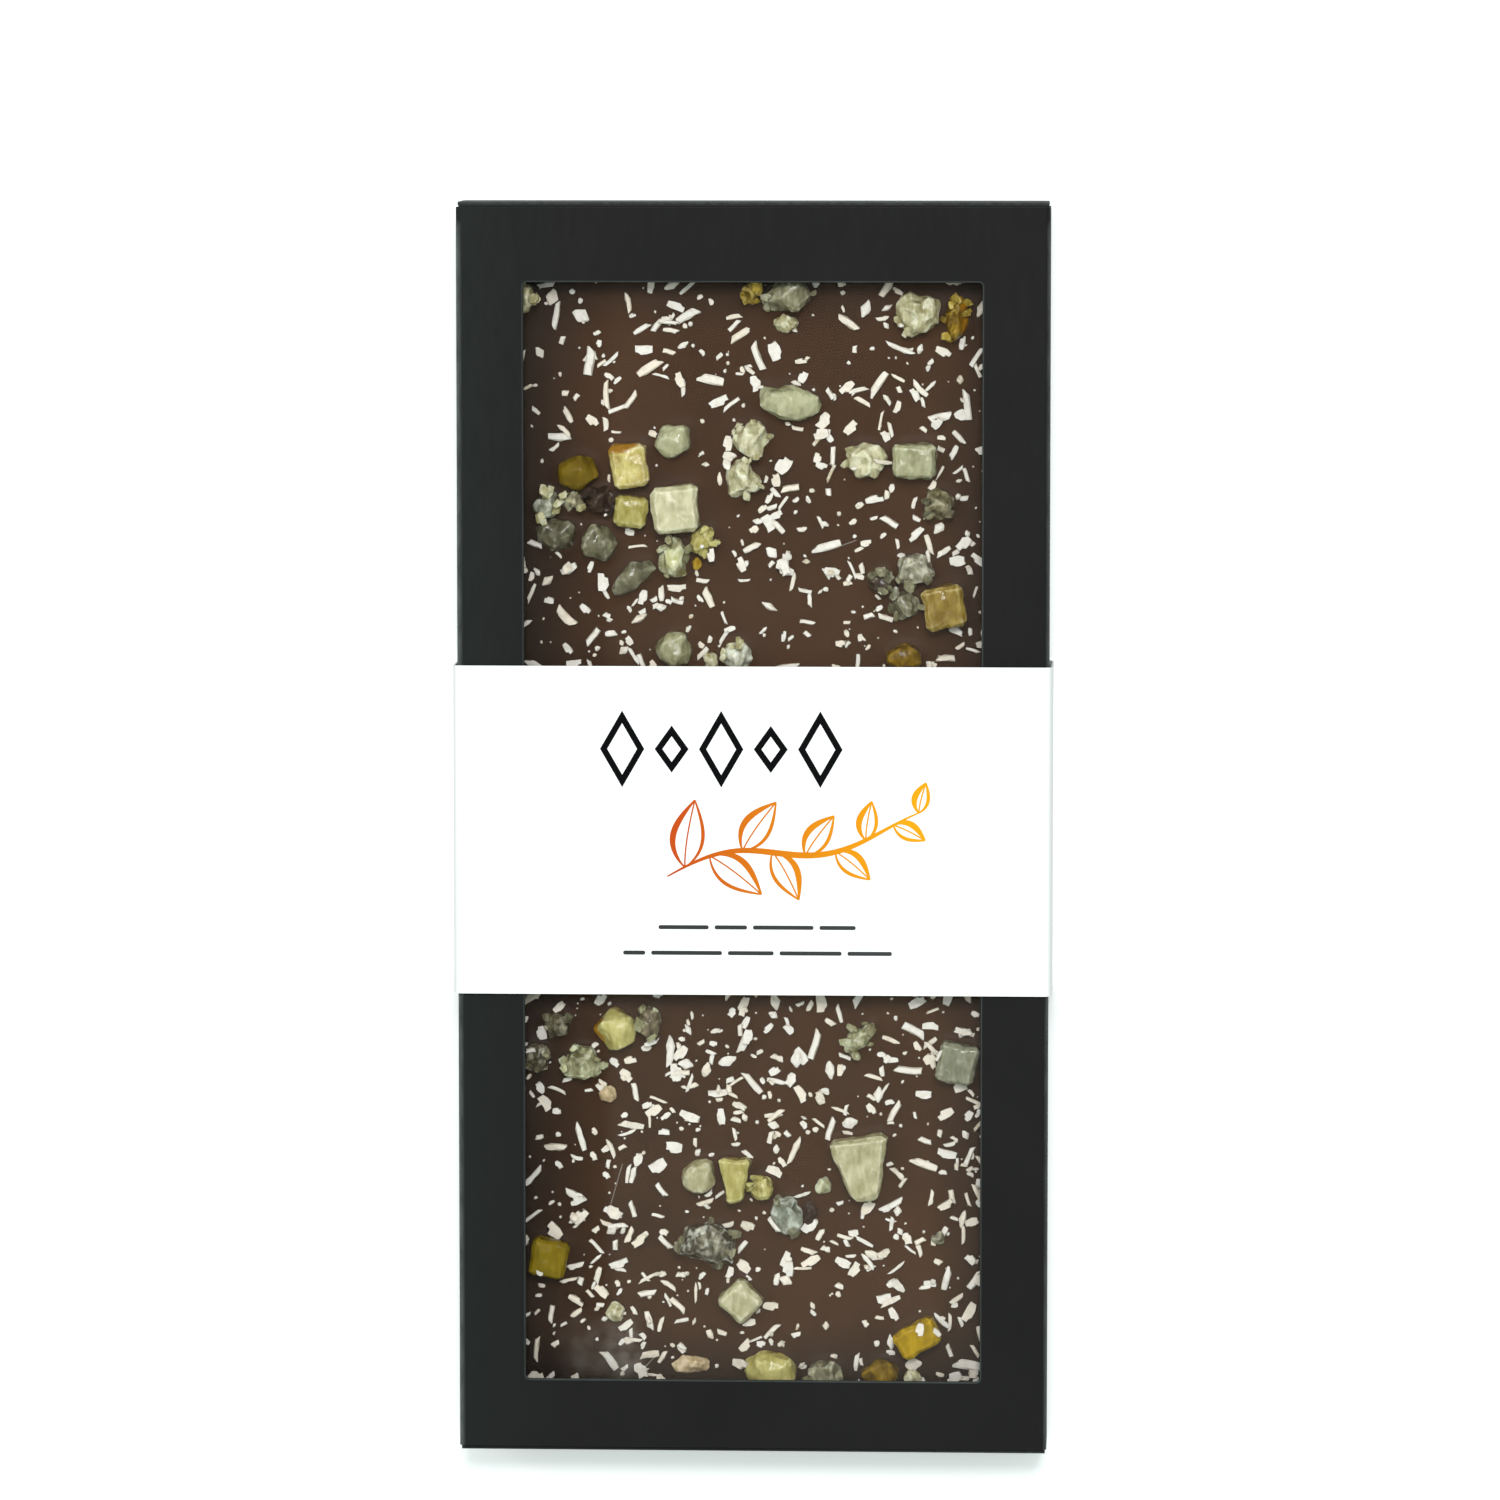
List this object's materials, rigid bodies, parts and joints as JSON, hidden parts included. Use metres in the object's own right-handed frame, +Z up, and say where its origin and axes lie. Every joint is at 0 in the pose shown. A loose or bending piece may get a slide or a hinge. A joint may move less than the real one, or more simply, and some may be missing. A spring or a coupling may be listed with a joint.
{
  "type": "chocolate bar",
  "caption": "Flat dark chocolate bar topped with coconut flakes and candied peel, in a black windowed carton with a white paper band.",
  "frame": {"origin": "centre of the pack's box on the surface it lies on, under the middle of the band's back", "axes": "+X to the right seen from the window side, +Y to the carton's top end, +Z up, out of the window"},
  "size_m": [0.0812, 0.17, 0.0129],
  "materials": {
    "carton_board": "matte black folding boxboard, slightly lighter at folds and cut edges",
    "window_film": "clear glossy film with a few faint scratches",
    "band_paper": "smooth matte white paper with simple printed shapes",
    "dark_chocolate": "satin dark chocolate with off-white coconut flakes set in its top",
    "peel_pale": "moist, slightly translucent pale cream candied peel",
    "peel_green": "moist, slightly translucent pale green candied peel",
    "peel_yellow": "moist, slightly translucent yellow candied peel",
    "peel_rind": "yellow candied peel with an amber outer rind",
    "peel_amber": "glossy translucent amber candied peel",
    "peel_grey": "glassy grey-green candied peel, dark where the chocolate shows through",
    "peel_coated": "candied peel covered with chocolate"
  },
  "bodies": {
    "root": {"carton": "carton_board", "chocolate_slab": "dark_chocolate", "paper_band": "band_paper", "peel_amber_01": "peel_amber", "peel_amber_02": "peel_amber", "peel_amber_03": "peel_amber", "peel_amber_04": "peel_amber", "peel_amber_05": "peel_amber", "peel_amber_06": "peel_amber", "peel_amber_07": "peel_amber", "peel_amber_08": "peel_amber", "peel_amber_09": "peel_amber", "peel_coated_01": "peel_coated", "peel_green_01": "peel_green", "peel_green_02": "peel_green", "peel_green_03": "peel_green", "peel_green_04": "peel_green", "peel_green_05": "peel_green", "peel_green_06": "peel_green", "peel_green_07": "peel_green", "peel_green_08": "peel_green", "peel_green_09": "peel_green", "peel_grey_01": "peel_grey", "peel_grey_02": "peel_grey", "peel_grey_03": "peel_grey", "peel_grey_04": "peel_grey", "peel_grey_05": "peel_grey", "peel_grey_06": "peel_grey", "peel_grey_07": "peel_grey", "peel_grey_08": "peel_grey", "peel_grey_09": "peel_grey", "peel_grey_10": "peel_grey", "peel_grey_11": "peel_grey", "peel_grey_12": "peel_grey", "peel_grey_13": "peel_grey", "peel_grey_14": "peel_grey", "peel_grey_15": "peel_grey", "peel_pale_01": "peel_pale", "peel_pale_02": "peel_pale", "peel_pale_03": "peel_pale", "peel_pale_04": "peel_pale", "peel_pale_05": "peel_pale", "peel_pale_06": "peel_pale", "peel_pale_07": "peel_pale", "peel_pale_08": "peel_pale", "peel_pale_09": "peel_pale", "peel_pale_10": "peel_pale", "peel_pale_11": "peel_pale", "peel_pale_12": "peel_pale", "peel_pale_13": "peel_pale", "peel_rind_01": "peel_rind", "peel_yellow_01": "peel_yellow", "peel_yellow_02": "peel_yellow", "peel_yellow_03": "peel_yellow", "peel_yellow_04": "peel_yellow", "peel_yellow_05": "peel_yellow", "peel_yellow_06": "peel_yellow", "peel_yellow_07": "peel_yellow", "window_film": "window_film"}
  },
  "joints": []
}
